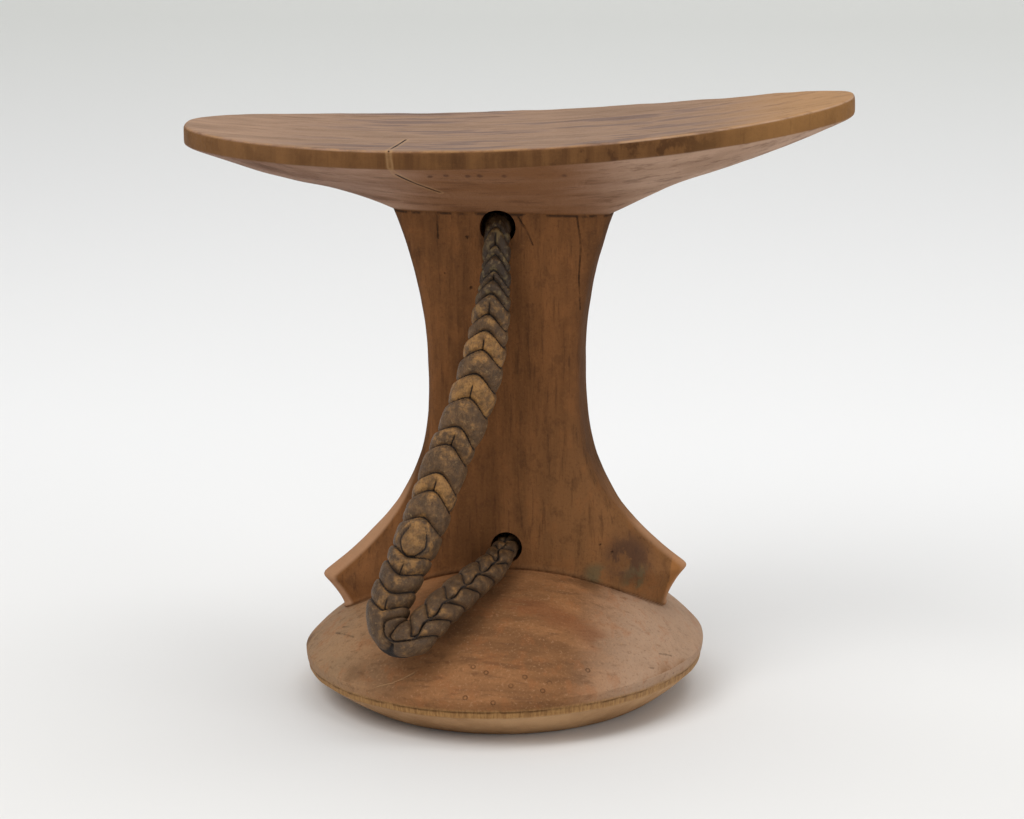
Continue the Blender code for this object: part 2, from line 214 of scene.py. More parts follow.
def colour_property(name, description, default):
    """A colour that a user would change."""
    return bpy.props.FloatVectorProperty(name=name, description=description, default=default,
                                         subtype="COLOR", min=0.0, max=1.0)


class HeadrestColours(bpy.types.PropertyGroup):
    """Colours of the finishes"""

    column_wood: colour_property("Column wood", "Waxed wood of the column", tone(112, 72, 40))
    platform_wood: colour_property("Platform wood", "Handled wood of the neck platform",
                                   tone(146, 118, 97))
    foot_wood: colour_property("Foot wood", "Rubbed wood of the foot's dome", tone(134, 92, 58))
    dark_leather: colour_property("Dark leather", "Greasy dark brown of the plait's smooth bands",
                                  tone(101, 73, 44))
    worn_leather: colour_property("Worn leather", "Golden brown where the plait is rubbed",
                                  tone(146, 106, 58))


# ==== Shader maths ====
class Value:
    """A shader socket that Python's operators work on."""

    def __init__(self, finish, socket):
        self.finish = finish
        self.socket = socket

    def maths(self, operation, *others, clamp=False):
        settings = {"operation": operation, "use_clamp": clamp}
        return self.finish.node("ShaderNodeMath", settings, dict(enumerate((self, *others))))

    def __add__(self, other):
        return self.maths("ADD", other)

    __radd__ = __add__

    def __mul__(self, other):
        return self.maths("MULTIPLY", other)

    __rmul__ = __mul__

    def __sub__(self, other):
        return self.maths("SUBTRACT", other)

    def __rsub__(self, other):
        return self.finish.node("ShaderNodeMath", {"operation": "SUBTRACT"}, {0: other, 1: self})

    def __abs__(self):
        return self.maths("ABSOLUTE")

    def clamped(self):
        return self.maths("ADD", 0.0, clamp=True)

    def least(self, other):
        return self.maths("MINIMUM", other)

    def most(self, other):
        return self.maths("MAXIMUM", other)

    def step(self, low, high):
        """0 below low, 1 above high and a smooth rise between; low may be the larger."""
        if low > high:
            return 1.0 - self.step(high, low)
        return self.finish.node("ShaderNodeMapRange", {"interpolation_type": "SMOOTHSTEP"},
                                {0: self, 1: low, 2: high, 3: 0.0, 4: 1.0})

    def bump(self, centre, width):
        """1 at centre, falling smoothly to 0 at width on either side."""
        return abs(self - centre).step(width, 0.0)


class Finish:
    """A procedural material and its node tree."""

    def __init__(self, name):
        self.material = bpy.data.materials.new(name)
        self.material.use_nodes = True
        self.tree = self.material.node_tree
        self.shader = self.tree.nodes["Principled BSDF"]

    def node(self, kind, settings=None, inputs=None, output=0):
        made = self.tree.nodes.new(kind)
        for name, value in (settings or {}).items():
            if name == "stops":
                ramp = made.color_ramp
                while len(ramp.elements) < len(value):
                    ramp.elements.new(0.5)
                for element, (place, colour) in zip(ramp.elements, value):
                    element.position = place
                    element.color = (*colour, 1.0)
            else:
                setattr(made, name, value)
        for key, value in (inputs or {}).items():
            self.feed(made.inputs[key], value)
        return Value(self, made.outputs[output])

    def feed(self, socket, value):
        if isinstance(value, Value):
            self.tree.links.new(value.socket, socket)
        elif isinstance(value, (tuple, list)) and len(value) == 3 and socket.type == "RGBA":
            socket.default_value = (*value, 1.0)
        else:
            socket.default_value = value

    def place(self):
        """Object coordinates, which are metres in the CAD frame."""
        return self.node("ShaderNodeTexCoord", output=3)

    def laid(self):
        """The mesh's own UV map."""
        return self.node("ShaderNodeTexCoord", output=2)

    def vector(self, operation, a, b=None, output=0):
        inputs = {0: a}
        if b is not None:
            inputs[1] = b
        return self.node("ShaderNodeVectorMath", {"operation": operation}, inputs, output)

    def split(self, vector):
        return [self.node("ShaderNodeSeparateXYZ", None, {0: vector}, k) for k in range(3)]

    def grain(self, vector, scale, detail=3.0, roughness=0.55, turn=(0.0, 0.0, 0.0)):
        """Noise from 0 to 1 whose cells are stretched by a scale along each axis."""
        mapped = self.node("ShaderNodeMapping", None, {0: vector, 2: turn, 3: scale})
        return self.node("ShaderNodeTexNoise", {"normalize": True},
                         {"Vector": mapped, "Scale": 1.0, "Detail": detail,
                          "Roughness": roughness})

    def painted(self, name):
        """A colour attribute of the mesh."""
        return self.node("ShaderNodeAttribute", {"attribute_name": name})

    def along(self, vector, marks):
        """Distance in metres from the nearest of some marks given in millimetres."""
        return self.smallest([self.away_from_line(vector, Vector(a) * 0.001, Vector(b) * 0.001)
                              for mark in marks for a, b in zip(mark, mark[1:])])

    def nearest(self, vector, points):
        """Distance in metres from the nearest of some points given in millimetres."""
        return self.smallest([self.away_from(vector, Vector(point) * 0.001) for point in points])

    @staticmethod
    def smallest(values):
        least = values[0]
        for value in values[1:]:
            least = least.least(value)
        return least

    def mix(self, share, first, second):
        return self.node("ShaderNodeMix", {"data_type": "RGBA", "clamp_factor": True},
                         {0: share, 6: first, 7: second}, 2)

    def coats(self, under, *layers):
        """Lays coats, each a share and a colour, over a colour, the lowest first."""
        for share, colour in layers:
            under = self.mix(share, under, colour)
        return under

    def away_from_line(self, vector, start, end):
        """Distance in metres from a straight mark between two points."""
        run = Vector(end) - Vector(start)
        offset = self.vector("SUBTRACT", vector, tuple(start))
        along = self.vector("DOT_PRODUCT", offset, tuple(run / run.length_squared), 1)
        foot = self.node("ShaderNodeVectorMath", {"operation": "SCALE"},
                         {0: tuple(run), 3: along.clamped()})
        return self.vector("DISTANCE", offset, foot, 1)

    def away_from(self, vector, point):
        return self.vector("DISTANCE", vector, tuple(point), 1)

    def raise_by(self, height, distance, strength):
        """A bump whose height is in metres for a height value of 1."""
        return self.node("ShaderNodeBump", None,
                         {"Strength": strength, "Distance": distance, "Height": height})

    def done(self, **sockets):
        """Feeds the shader's sockets, named with underscores, and gives the material."""
        for name, value in sockets.items():
            self.feed(self.shader.inputs[name.replace("_", " ")], value)
        return self.material


# ==== Shapes ====
def smooth_share(value, low, high):
    """0 at low, 1 at high and a smooth rise between; low may be the larger."""
    share = np.clip((np.asarray(value, float) - low) / (high - low), 0.0, 1.0)
    return share * share * (3.0 - 2.0 * share)


def lean_lift(x, z):
    """The lift that grows with x, because the block leans a little but its neck is level."""
    angle = RIM_LEAN + (HEAD_LEAN - RIM_LEAN) * smooth_share(z, RIM_HEIGHT, WING_TIP_HEIGHT)
    level = smooth_share(z, 0.075, 0.128) * (1.0 - smooth_share(z, COLUMN_TOP + 0.001, 0.148))
    angle = angle + (NECK_LEAN - HEAD_LEAN) * level
    return x * np.tan(angle) * smooth_share(z, 0.0, RIM_HEIGHT)


def dome_height(radius):
    """Height of the foot's dome, before the lean."""
    share = np.maximum(1.0 - (np.asarray(radius, float) / RIM_RADIUS) ** 2, 0.0)
    return RIM_HEIGHT + DOME_RISE * share ** DOME_POWER


def oval(half_width, half_depth, squareness, shift, count):
    """Evenly spaced points of a superellipse in plan, the last one on the first."""
    angle = np.linspace(0.0, 0.5 * math.pi, 721)
    x = half_width * np.cos(angle) ** (2.0 / squareness)
    y = half_depth * np.sin(angle) ** (2.0 / squareness)
    along = np.concatenate([[0.0], np.cumsum(np.hypot(np.diff(x), np.diff(y)))])
    even = np.linspace(0.0, along[-1], count // 4 + 1)
    x = np.interp(even, along, x)
    y = np.interp(even, along, y)
    x, y = (np.concatenate([x, -x[-2::-1], -x[1:], x[-2::-1]]),
            np.concatenate([y, y[-2::-1], -y[1:], -y[-2::-1]]))
    return np.stack([x + shift, y, np.zeros(len(x))], axis=1)


def column_section(z, count):
    """The column's outline at a height: it flares up to the neck and down to the wings."""
    if z >= WAIST_HEIGHT:
        share = (z - WAIST_HEIGHT) / (COLUMN_TOP - WAIST_HEIGHT)
        width = WAIST_HALF_WIDTH + (COLUMN_TOP_HALF_WIDTH - WAIST_HALF_WIDTH) * share ** NECK_FLARE
    else:
        flare = (WAIST_HEIGHT - z) / (WAIST_HEIGHT - WING_TIP_HEIGHT)
        flare = WAIST_HALF_WIDTH + (WING_TIP_HALF_WIDTH - WAIST_HALF_WIDTH) * flare ** WING_FLARE
        share = min((WING_TIP_HEIGHT - z) / (WING_TIP_HEIGHT - WING_ROOT_HEIGHT), 1.0)
        inset = UNDERSIDE_CURVE * share
        if share > 0.0:
            inset = 1.0 - (1.0 - share) ** UNDERSIDE_CURVE
        below = WING_TIP_HALF_WIDTH - (WING_TIP_HALF_WIDTH - WING_ROOT_HALF_WIDTH) * inset
        width = flare - TIP_ROUNDING * math.log(1.0 + math.exp((flare - below) / TIP_ROUNDING))
        width += 0.6 * TIP_ROUNDING * float(smooth_share(z, 0.060, WING_TIP_HEIGHT))
    reach = COLUMN_TOP - WAIST_HEIGHT if z > WAIST_HEIGHT else LOWER_REACH
    depth = min(abs(z - WAIST_HEIGHT) / reach, 1.0) ** 2
    depth = WAIST_HALF_DEPTH + (END_HALF_DEPTH - WAIST_HALF_DEPTH) * depth
    grown = float(smooth_share(z, WING_TIP_HEIGHT, WAIST_HEIGHT))
    ring = oval(width, depth, 2.2 + 4.8 * grown, WAIST_SHIFT * grown, count)
    ring[:, 2] = z
    return ring


def head_top(x):
    """Height of the platform's rim, which rises to both ends."""
    return HEAD_HEIGHT + END_RISE * ((x - HEAD_SHIFT) / HEAD_HALF_LENGTH) ** 2


def head_ring(scale, drop, count, inset=0.0):
    """The platform's outline, scaled and inset, at a drop below its rim."""
    ring = oval(HEAD_HALF_LENGTH * scale - inset, HEAD_HALF_DEPTH * scale - inset,
                HEAD_SQUARENESS, HEAD_SHIFT, count)
    ring[:, 2] = head_top(ring[:, 0]) - drop
    return ring


def block_rings(count):
    """Sections of the column and the platform, from inside the dome to the dished top."""
    heights = np.concatenate([
        [WING_ROOT_HEIGHT - 0.005, WING_ROOT_HEIGHT - 0.002],
        np.linspace(WING_ROOT_HEIGHT, 0.0400, 44, endpoint=False),
        np.linspace(0.0400, WAIST_HEIGHT, 34, endpoint=False),
        np.linspace(WAIST_HEIGHT, COLUMN_TOP, 34)])
    rings = [column_section(z, count) for z in heights]
    for ring in rings:  # the lip that the carver left round the column's foot
        above = ring[:, 2] - dome_height(np.hypot(ring[:, 0], ring[:, 1]))
        lip = LIP * np.exp(-((above - LIP_HEIGHT) / LIP_HEIGHT) ** 2)
        flat = ring[:, :2] / np.array([WING_TIP_HALF_WIDTH, END_HALF_DEPTH]) ** 2
        flat /= np.maximum(np.linalg.norm(flat, axis=1, keepdims=True), 1e-9)
        ring[:, :2] += flat * lip[:, None]
    neck = rings[-1]
    arris = head_ring(1.0, EDGE_BAND + 0.0003, count, 0.0005)
    for share in np.linspace(0.0, 1.0, 27)[1:-1]:
        ring = neck + (arris - neck) * share
        wave = HULL_WAVE * (0.2 + 0.8 * smooth_share(arris[:, 0], -0.020, 0.020))
        rise = share + wave * math.sin(2.0 * math.pi * share)
        ring[:, 2] = neck[:, 2] + (arris[:, 2] - neck[:, 2]) * rise
        rings.append(ring)
    # inset and drop round the platform's edge, from its lower arris to its rim
    edge = ((0.0005, 0.0053), (0.00022, 0.0051), (0.00008, 0.0048), (0.00002, 0.0043),
            (0.0, 0.0036), (0.0, 0.0028), (0.0, 0.0020), (0.00003, 0.0013), (0.00012, 0.00075),
            (0.00030, 0.00038), (0.00058, 0.00014), (0.00100, 0.00003), (0.0017, 0.0))
    rings += [head_ring(1.0, drop, count, inset) for inset, drop in edge]
    dish = (0.93, 0.90, 0.86, 0.81, 0.75, 0.69, 0.62, 0.55, 0.48, 0.41, 0.34, 0.27, 0.20, 0.14,
            0.08, 0.03)
    rings += [head_ring(share, ACROSS_DISH * (1.0 - share ** 2), count) for share in dish]
    rows = np.array(rings)
    rows[:, :, 2] += lean_lift(rows[:, :, 0], rows[:, :, 2])
    return rows


def skin(work, rows):
    """A grid laid over a table of points, closed where its last column meets its first."""
    tall, wide = rows.shape[0] - 1, rows.shape[1] - 1
    work.loops.layers.uv.verify()
    made = bmesh.ops.create_grid(work, x_segments=wide, y_segments=tall, size=1.0, calc_uvs=True)
    for vertex in made["verts"]:
        column = round((vertex.co.x + 1.0) * 0.5 * wide)
        row = round((vertex.co.y + 1.0) * 0.5 * tall)
        vertex.co = rows[row, column]
    bmesh.ops.remove_doubles(work, verts=made["verts"], dist=1e-6)


def closed(work):
    """Fills the ends of a tube and points its faces outwards."""
    edges = [edge for edge in work.edges if edge.is_boundary]
    bmesh.ops.holes_fill(work, edges=edges, sides=0)
    bmesh.ops.recalc_face_normals(work, faces=work.faces)


def with_mesh(name, mesh, sharp_angle=None):
    """A smooth-shaded object in the scene, with edges past an angle kept sharp."""
    mesh.polygons.foreach_set("use_smooth", [True] * len(mesh.polygons))
    if sharp_angle:
        mesh.set_sharp_from_angle(angle=math.radians(sharp_angle))
    item = bpy.data.objects.new(name, mesh)
    bpy.context.scene.collection.objects.link(item)
    return item


def as_object(name, work):
    mesh = bpy.data.meshes.new(name)
    work.to_mesh(mesh)
    work.free()
    return with_mesh(name, mesh)


def baked(name, item, sharp_angle):
    """A new object with item's modifiers in its mesh; item is removed."""
    bpy.context.view_layer.update()
    depsgraph = bpy.context.evaluated_depsgraph_get()
    mesh = bpy.data.meshes.new_from_object(item.evaluated_get(depsgraph), depsgraph=depsgraph)
    bpy.data.objects.remove(item, do_unlink=True)
    return with_mesh(name, mesh, sharp_angle)


def combine(item, other, operation):
    """Adds a boolean of item with other."""
    modifier = item.modifiers.new(other.name, "BOOLEAN")
    modifier.operation = operation
    modifier.solver = "EXACT"
    modifier.object = other


def route(points, step):
    """Evenly spaced rows of a Catmull-Rom curve through the points, and where they lie on it."""
    table = np.array(points, float)
    ends = np.vstack([2 * table[0] - table[1], table, 2 * table[-1] - table[-2]])
    fine = []
    for a, b, c, d in zip(ends, ends[1:], ends[2:], ends[3:]):
        for t in np.linspace(0.0, 1.0, 40, endpoint=False):
            fine.append(0.5 * (2 * b + (c - a) * t + (2 * a - 5 * b + 4 * c - d) * t ** 2
                               + (3 * b - a - 3 * c + d) * t ** 3))
    fine = np.array(fine + [table[-1]])
    steps = np.linalg.norm(np.diff(fine[:, :3], axis=0), axis=1)
    along = np.concatenate([[0.0], np.cumsum(steps)])
    marks = [along[min(40 * index, len(along) - 1)] for index in range(len(table))]
    even = np.linspace(0.0, along[-1], max(2, int(along[-1] / step)))
    return np.stack([np.interp(even, along, column) for column in fine.T], axis=1), even, marks


def frames(line, facing):
    """Directions along, facing and across a curve, the second kept towards facing."""
    along = np.gradient(line, axis=0)
    along /= np.linalg.norm(along, axis=1, keepdims=True)
    front = np.asarray(facing) - along * (along @ np.asarray(facing))[:, None]
    front /= np.linalg.norm(front, axis=1, keepdims=True)
    return along, front, np.cross(front, along)


def ripple(points, size, seed):
    """Smooth unevenness from -1 to 1 at each point."""
    return np.array([noise.noise(Vector(point) / size + Vector((seed, 0.0, 0.0)))
                     for point in points])


# ==== Finishes ====
# Marks in the wood, in millimetres: the points that each line runs through, or
# the middles of small ones.
PLATFORM_CRACK = [(-23.7, -9.3, 152.8), (-24.3, -18.0, 153.2), (-24.9, -29.4, 153.2),
                  (-24.5, -29.6, 149.4), (-23.2, -28.0, 147.1), (-18.9, -25.1, 144.1),
                  (-13.0, -20.9, 141.0)]
COLUMN_CRACKS = [
    [(21.8, -12.3, 133.5), (22.7, -11.6, 126.0), (22.1, -11.2, 117.0), (22.2, -9.9, 108.3)],
    [(-15.2, -12.4, 133.0), (-15.1, -12.2, 127.2)],
    [(6.3, -12.4, 133.3), (8.3, -12.3, 129.8), (10.1, -12.2, 125.8)]]
FOOT_CRACKS = [
    [(44.7, -24.3, 18.0), (47.6, -21.5, 16.6)], [(42.9, -30.5, 16.1), (48.4, -24.3, 12.8)],
    [(-43.8, -17.9, 18.7), (-37.4, -25.5, 20.2)], [(-42.0, -16.9, 20.1), (-39.9, -19.0, 20.8)]]
FOOT_SCRATCH = [(-30.3, -45.0, 11.7), (-27.2, -45.9, 13.8), (-23.6, -46.6, 15.0),
                (-20.7, -46.6, 16.3), (-17.8, -46.0, 17.8)]
RED_STREAKS = [[(10.0, -26.5, 31.6), (20.0, -29.5, 28.4), (30.0, -32.0, 23.6)],
               [(-8.0, -23.0, 33.0), (6.0, -27.0, 31.0), (19.0, -30.3, 28.6)]]
FOOT_RINGS = [(-2.0, -46.7, 20.3), (1.6, -48.1, 19.3), (11.8, -48.0, 18.5), (8.4, -50.5, 16.8),
              (18.2, -47.8, 17.0), (16.7, -49.9, 15.5), (27.6, -41.3, 18.7), (-3.2, -53.5, 14.1),
              (4.2, -54.2, 13.2)]
FOOT_PORES = [(-12.7, -42.5, 21.8), (-6.8, -46.7, 19.8), (-0.6, -49.8, 17.8),
              (-10.4, -43.2, 21.6), (-9.1, -45.1, 20.7), (-4.0, -45.0, 21.0),
              (-5.2, -47.4, 19.4), (-2.9, -46.2, 20.4), (-1.2, -48.4, 19.0), (2.4, -46.8, 20.3)]
COLUMN_PITS = [(-7.4, -12.3, 127.7), (-13.4, -11.9, 117.8), (-6.5, -11.9, 113.9),
               (27.4, -9.8, 43.4), (30.6, -9.2, 41.4)]
PLATFORM_SPOTS = [(20.2, -27.2, 147.7), (-14.5, -27.9, 146.8), (-10.2, -28.3, 147.2),
                  (-4.6, -28.1, 147.0), (-1.4, -28.3, 147.3), (4.8, -28.1, 147.4)]
GRIME_SPOT = [(35.2, -8.5, 39.6)]
MOULD_SPOTS = [((37.5, -8.0, 33.0), 0.0062, 0.0020), ((26.2, -10.5, 35.5), 0.0040, 0.0014)]


def wood_grains(finish, place):
    """The noises that the coats of wood share, by name."""
    slanted = (0.0, 0.12, 0.42)
    table = {
        "upright": ((760.0, 760.0, 70.0), 5.0, 0.68),
        "upright_wide": ((230.0, 230.0, 20.0), 4.0, 0.62),
        "lengthwise": ((60.0, 520.0, 520.0), 5.0, 0.66),
        "lengthwise_wide": ((20.0, 170.0, 170.0), 4.0, 0.62),
        "slant": ((70.0, 380.0, 520.0), 5.0, 0.66, slanted),
        "slant_wide": ((26.0, 120.0, 170.0), 4.0, 0.62, slanted),
        "fibre": ((1500.0, 1500.0, 130.0), 4.0, 0.7),
        "blotch": ((55.0, 55.0, 55.0), 4.0, 0.62),
        "clouds": ((210.0, 210.0, 150.0), 4.0, 0.66),
        "fine": ((1500.0, 1500.0, 1500.0), 3.0, 0.6),
    }
    return SimpleNamespace(**{name: finish.grain(place, *row) for name, row in table.items()})


def column_wood(finish, wood, place, edge, grains):
    """Brown upright grain with grime and mould, painted shade along the column's sides and in the
    crease under the neck, and painted highlights along the wings' upper edges and on their tip
    facets.
    """
    x, _, z = finish.split(place)
    clouds = grains.clouds
    lower = z.step(0.095, 0.050) * x.step(-0.004, 0.022)
    grime = finish.nearest(place, GRIME_SPOT).step(0.0095, 0.0030)
    mould = [finish.nearest(place, [spot]).step(outer, inner) for spot, outer, inner in MOULD_SPOTS]
    mould = mould[0].most(mould[1])
    # a painted highlight where the wing's tip would turn to a facet
    facet = (x - (z - WING_TIP_HEIGHT) * 0.2 + (clouds - 0.5) * 0.0016).step(0.0452, 0.0458)
    facet = facet * z.step(0.046, 0.043)
    paler = z.step(0.068, 0.048)
    # painted shade in the crease under the neck, broken up
    neck_crease_shade = (z - x * math.tan(NECK_LEAN)).bump(COLUMN_TOP - 0.0003, 0.0007)
    return finish.coats(
        finish.mix(grains.upright_wide.step(0.32, 0.68), shade(wood, 0.80), shade(wood, 1.18)),
        (lower * 0.50, tone(132, 92, 56)),
        (clouds.step(0.50, 0.68) * 0.38, tone(134, 86, 48)),
        (grains.upright.step(0.53, 0.67) * 0.45, tone(62, 39, 22)),
        (clouds.step(0.44, 0.34) * 0.35, tone(74, 47, 27)),
        (grains.fine.step(0.56, 0.70) * 0.24, tone(140, 94, 56)),
        (grains.fine.step(0.44, 0.32) * 0.26, tone(62, 38, 21)),
        (grime * clouds.step(0.34, 0.52) * 0.80, tone(70, 48, 36)),
        (mould * clouds.step(0.60, 0.46) * 0.65, tone(88, 80, 56)),
        (facet * 0.85, tone(150, 100, 56)),
        # painted shade darkens the column's sides above the wings; a painted highlight runs along
        # the wings' upper edges
        (edge.step(0.86, 0.98) * (1.0 - paler) * 0.70, tone(70, 47, 30)),
        (edge.step(0.935, 0.975) * paler * (0.35 + 0.7 * grains.blotch), tone(186, 142, 108)),
        (neck_crease_shade * clouds.step(0.42, 0.56) * 0.85, tone(34, 20, 11)))


def platform_wood(finish, wood, place, zones, rim, grains):
    """Rubbed top, stained golden edge, the pinkish hull below it and a broken painted highlight
    along the rim.
    """
    top, side = zones
    x = finish.split(place)[0]
    clouds = grains.clouds
    smudge = grains.lengthwise_wide.step(0.48, 0.60) * x.step(0.080, 0.040)
    rubbed = finish.coats(
        finish.mix(grains.lengthwise_wide.step(0.34, 0.66), shade(wood, 0.82), shade(wood, 1.18)),
        (x.step(0.045, 0.085) * 0.65, tone(168, 126, 80)),
        (smudge * x.step(-0.070, -0.030) * 0.80, tone(104, 86, 80)),
        (grains.lengthwise.step(0.54, 0.68) * 0.50, tone(98, 72, 54)))
    stain = clouds.step(0.48, 0.62) * (0.35 + 0.65 * x.step(0.005, 0.030)) * x.step(0.085, 0.055)
    band = finish.coats(
        finish.mix(grains.upright_wide.step(0.32, 0.68), tone(88, 57, 31), tone(112, 76, 43)),
        (x.step(-0.020, -0.070) * 0.55, tone(134, 96, 60)),
        (stain * 0.70, tone(64, 38, 19)),
        (x.step(0.045, 0.080) * (0.25 + 0.7 * clouds), tone(160, 116, 68)),
        (grains.upright.step(0.54, 0.68) * 0.20, tone(76, 48, 26)))
    hull = finish.coats(
        finish.mix(grains.lengthwise_wide.step(0.32, 0.68), tone(134, 101, 80),
                   tone(176, 142, 120)),
        (x.step(-0.020, -0.055) * 0.45, tone(110, 78, 60)),
        (x.step(0.020, 0.045) * 0.40, tone(190, 160, 136)),
        (abs(x - 0.002).step(0.040, 0.012) * 0.80, tone(118, 76, 42)),
        (grains.lengthwise.step(0.52, 0.66) * 0.45, tone(84, 54, 36)))
    return finish.coats(hull, (top, rubbed), (side, band),
                        # a broken painted highlight along the platform's rounded rim
                        (rim * clouds.step(0.38, 0.62) * 0.55, tone(172, 130, 84)))


def foot_wood(finish, wood, place, grains):
    """Rubbed dome with a painted highlight on its right, soft arris, fibrous band and the paler
    undercut.
    """
    x, _, z = finish.split(place)
    clouds = grains.clouds
    low = z - x * math.tan(RIM_LEAN) + (clouds - 0.5) * 0.0007
    streak = finish.along(place, RED_STREAKS).step(0.0055, 0.0008)
    fibres = finish.mix(grains.fibre.step(0.36, 0.62), tone(132, 96, 58), tone(166, 126, 78))
    under = finish.mix(grains.blotch.step(0.3, 0.7), tone(152, 114, 78), tone(186, 148, 108))
    return finish.coats(
        finish.mix(grains.slant_wide.step(0.34, 0.66), shade(wood, 0.70), shade(wood, 1.20)),
        (x.step(-0.016, -0.044) * 0.65, tone(156, 128, 98)),
        # the dome's right is made paler, with less dark grain, as a painted highlight
        (x.step(0.020, 0.042) * (0.55 + 0.7 * clouds), tone(170, 140, 115)),
        (clouds.step(0.50, 0.66) * 0.40, tone(146, 92, 54)),
        (grains.slant.step(0.54, 0.68) * (0.48 - x.step(0.022, 0.040) * 0.22), tone(92, 62, 40)),
        (grains.fine.step(0.56, 0.70) * 0.34, tone(178, 136, 100)),
        (grains.fine.step(0.44, 0.32) * 0.30, tone(94, 60, 36)),
        (streak * grains.slant_wide.step(0.42, 0.54) * 0.50, tone(108, 62, 36)),
        (low.step(ARRIS_HEIGHT + 0.0010, ARRIS_HEIGHT - 0.0002) * 0.85, fibres),
        (low.bump(ARRIS_HEIGHT - 0.0002, 0.0005) * clouds.step(0.36, 0.60) * 0.7, tone(70, 44, 24)),
        (low.step(BAND_HEIGHT + 0.0004, BAND_HEIGHT - 0.0006), under))


def wood_finish(colours):
    """The block's wood, with the marks of its use over it."""
    finish = Finish("carved_wood")
    place = finish.place()
    x, _, z = finish.split(place)
    top, side, foot = finish.split(finish.painted("zones"))
    # where painted light and shade go: the column's sides, round the column's foot and along the
    # platform's rim
    edge, lip, rim = finish.split(finish.painted("wear"))
    grains = wood_grains(finish, place)
    fine, clouds = grains.fine, grains.clouds
    neck = z - x * math.tan(NECK_LEAN)
    head = (top + side).most(neck.step(COLUMN_TOP, COLUMN_TOP + 0.0008))

    uneven = (fine - 0.5) * 0.0003 + (clouds - 0.5) * 0.0005
    faint = clouds.step(0.30, 0.55)
    crack = finish.along(place, [PLATFORM_CRACK]) + uneven * 0.4
    split = crack.step(0.00032, 0.00010)
    shallow = (finish.along(place, COLUMN_CRACKS) + uneven).step(0.00034, 0.00008) * faint * 0.75
    nicks = (finish.along(place, FOOT_CRACKS) + uneven).step(0.00050, 0.00010) * faint * 0.60
    scratch = (finish.along(place, [FOOT_SCRATCH]) + uneven).step(0.00045, 0.00010)
    pits = (finish.nearest(place, COLUMN_PITS) + uneven * 4.0).step(0.00055, 0.00015)
    pores = (finish.nearest(place, FOOT_PORES) + uneven * 6.0).step(0.00075, 0.00020) * faint
    spots = (finish.nearest(place, PLATFORM_SPOTS) + uneven * 2.0).step(0.00110, 0.00040)
    rings = (finish.nearest(place, FOOT_RINGS) + uneven * 0.5).bump(0.00056, 0.00026) * faint
    colour = finish.coats(
        column_wood(finish, colours.column_wood, place, edge, grains),
        (head, platform_wood(finish, colours.platform_wood, place, (top, side), rim, grains)),
        (foot, foot_wood(finish, colours.foot_wood, place, grains)),
        # painted shade where the column meets the dome
        (lip * (1.0 - foot) * 0.60, tone(52, 33, 20)),
        # a painted highlight beside the crack, standing in for its raised lip
        (crack.bump(0.0007, 0.0005) * 0.35, tone(176, 140, 98)),
        (spots * 0.60, tone(58, 36, 28)),
        (pits * 0.65, tone(40, 24, 14)),
        (pores * 0.40, tone(84, 50, 28)),
        (rings * 0.55, tone(66, 42, 26)),
        (scratch * 0.30, tone(186, 146, 104)),
        (split.most(shallow).most(nicks) * 0.92, tone(26, 16, 9)))

    height = (grains.upright * 0.8 * (1.0 - foot) * (1.0 - top) + grains.lengthwise * 0.7 * head
              + grains.slant * 0.8 * foot + fine * 0.3 + clouds * 1.1)
    height = height - split * 2.2 - pits * 1.4 - shallow * 1.4 - scratch * 0.6 - rings * 0.5
    rough = 0.52 + grains.blotch * 0.16 + fine * 0.06 + top * 0.06 + edge.step(0.85, 0.97) * 0.35
    return finish.done(Base_Color=colour, Roughness=rough,
                       Normal=finish.raise_by(height, 0.00045, 0.90),
                       Specular_IOR_Level=0.25, IOR=1.3)


